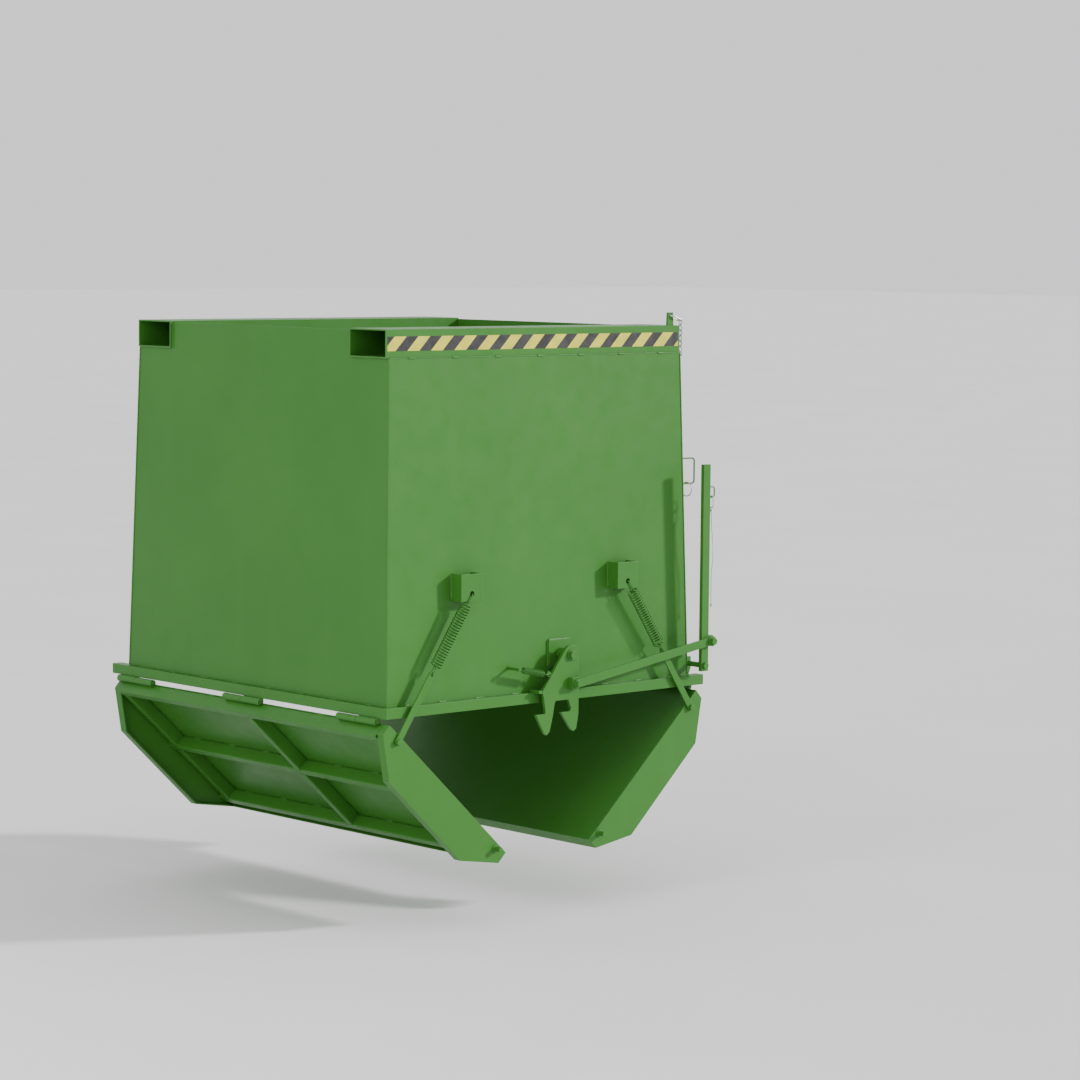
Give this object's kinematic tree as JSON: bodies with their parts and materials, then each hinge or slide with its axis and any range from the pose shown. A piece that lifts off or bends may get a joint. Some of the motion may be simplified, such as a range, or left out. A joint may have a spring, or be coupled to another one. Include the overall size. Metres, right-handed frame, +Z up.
{
  "type": "drop-bottom container",
  "caption": "Open steel container carried on fork pockets, with hinged bottom flaps, spring rods, latch hooks, link, release lever and a hanging pull rope.",
  "frame": {"origin": "midway between the fork pockets, on the plane of their inner roofs, at the middle of their length", "axes": "+Z up, +Y the way the forks pull out towards the truck, +X the side with the release lever"},
  "size_m": [1.732, 1.5674, 1.9412],
  "materials": {
    "green_paint": "glossy",
    "tape": "satin",
    "bright_steel": "satin",
    "rope": "matt"
  },
  "bodies": {
    "container": {"rear_wall": "green_paint", "front_wall": "green_paint", "right_wall": "green_paint", "left_wall": "green_paint", "right_fork_pocket": "green_paint", "left_fork_pocket": "green_paint", "hazard_tapes": "tape", "front_frame_bar": "green_paint", "rear_frame_bar": "green_paint", "side_frame_bars_front": "green_paint", "side_frame_bars_rear": "green_paint", "frame_knuckles": "green_paint", "hinge_pins": "green_paint", "spring_brackets": "green_paint", "front_springs": "green_paint", "rear_springs": "green_paint", "hook_pads": "green_paint", "hook_bosses": "green_paint", "hook_pivot_bolts": "green_paint", "hook_stops": "green_paint", "hook_spring_studs": "green_paint", "hook_return_springs": "green_paint", "shaft_bearings": "green_paint", "rope_guide": "green_paint", "spare_ring": "bright_steel", "corner_lug": "green_paint", "shackle": "bright_steel", "safety_chain": "bright_steel"},
    "front_flap": {"front_flap_panel": "green_paint", "front_flap_end_plates": "green_paint", "front_flap_long_ribs": "green_paint", "front_flap_cross_ribs": "green_paint", "front_flap_knuckles": "green_paint", "front_flap_studs": "green_paint", "front_flap_rod_bolts": "green_paint"},
    "rear_flap": {"rear_flap_panel": "green_paint", "rear_flap_end_plates": "green_paint", "rear_flap_long_ribs": "green_paint", "rear_flap_cross_ribs": "green_paint", "rear_flap_knuckles": "green_paint", "rear_flap_studs": "green_paint", "rear_flap_rod_bolts": "green_paint"},
    "front_rods": {"front_rods": "green_paint"},
    "rear_rods": {"rear_rods": "green_paint"},
    "hooks": {"hook_plates": "green_paint", "hook_spacers": "green_paint", "hook_link_bolts": "green_paint"},
    "links": {"links": "green_paint"},
    "release": {"release_lever": "green_paint", "release_crank": "green_paint", "cross_shaft": "green_paint", "shaft_end_bolts": "green_paint", "lever_link_bolts": "green_paint", "rope_eye": "green_paint", "snap_ring": "bright_steel", "rope_knots": "rope", "release_rope": "rope"}
  },
  "joints": [
    {"name": "front_flap_hinge", "type": "hinge", "parent": "container", "child": "front_flap", "pos_m": [0, -0.755, -1.3445], "axis": [1, 0, 0], "range_deg": [-12, 43], "stiffness_Nm_per_rad": 166, "springref_deg": 68.75, "deforming": ["front_springs"]},
    {"name": "rear_flap_hinge", "type": "hinge", "parent": "container", "child": "rear_flap", "pos_m": [0, 0.755, -1.3445], "axis": [-1, 0, 0], "range_deg": [-12, 43], "stiffness_Nm_per_rad": 166, "springref_deg": 68.75, "deforming": ["rear_springs"]},
    {"name": "front_rod_pivot", "type": "hinge", "parent": "front_flap", "child": "front_rods", "pos_m": [0, -0.70809, -1.41149], "axis": [-1, 0, 0], "range_deg": [-12, 43]},
    {"name": "rear_rod_pivot", "type": "hinge", "parent": "rear_flap", "child": "rear_rods", "pos_m": [0, 0.70809, -1.41149], "axis": [1, 0, 0], "range_deg": [-12, 43]},
    {"name": "release_pull", "type": "hinge", "parent": "container", "child": "release", "pos_m": [0, 0.743, -1.254], "axis": [-1, 0, 0], "range_deg": [0, 14.2], "stiffness_Nm_per_rad": 15, "springref_deg": -20.05},
    {"name": "hook_pivot", "type": "hinge", "parent": "container", "child": "hooks", "pos_m": [0, 0.084, -1.166], "axis": [1, 0, 0], "range_deg": [0, 11.51], "deforming": ["hook_return_springs"]},
    {"name": "link_pivot", "type": "hinge", "parent": "release", "child": "links", "pos_m": [0, 0.764, -1.163], "axis": [1, 0, 0], "range_deg": [0, 13.41]}
  ],
  "couplings": [
    {"joint": "front_rod_pivot", "follows": "front_flap_hinge", "ratio": 1},
    {"joint": "rear_rod_pivot", "follows": "rear_flap_hinge", "ratio": 1},
    {"joint": "hook_pivot", "follows": "release_pull", "ratio": 0.81},
    {"joint": "link_pivot", "follows": "release_pull", "ratio": 0.944}
  ]
}
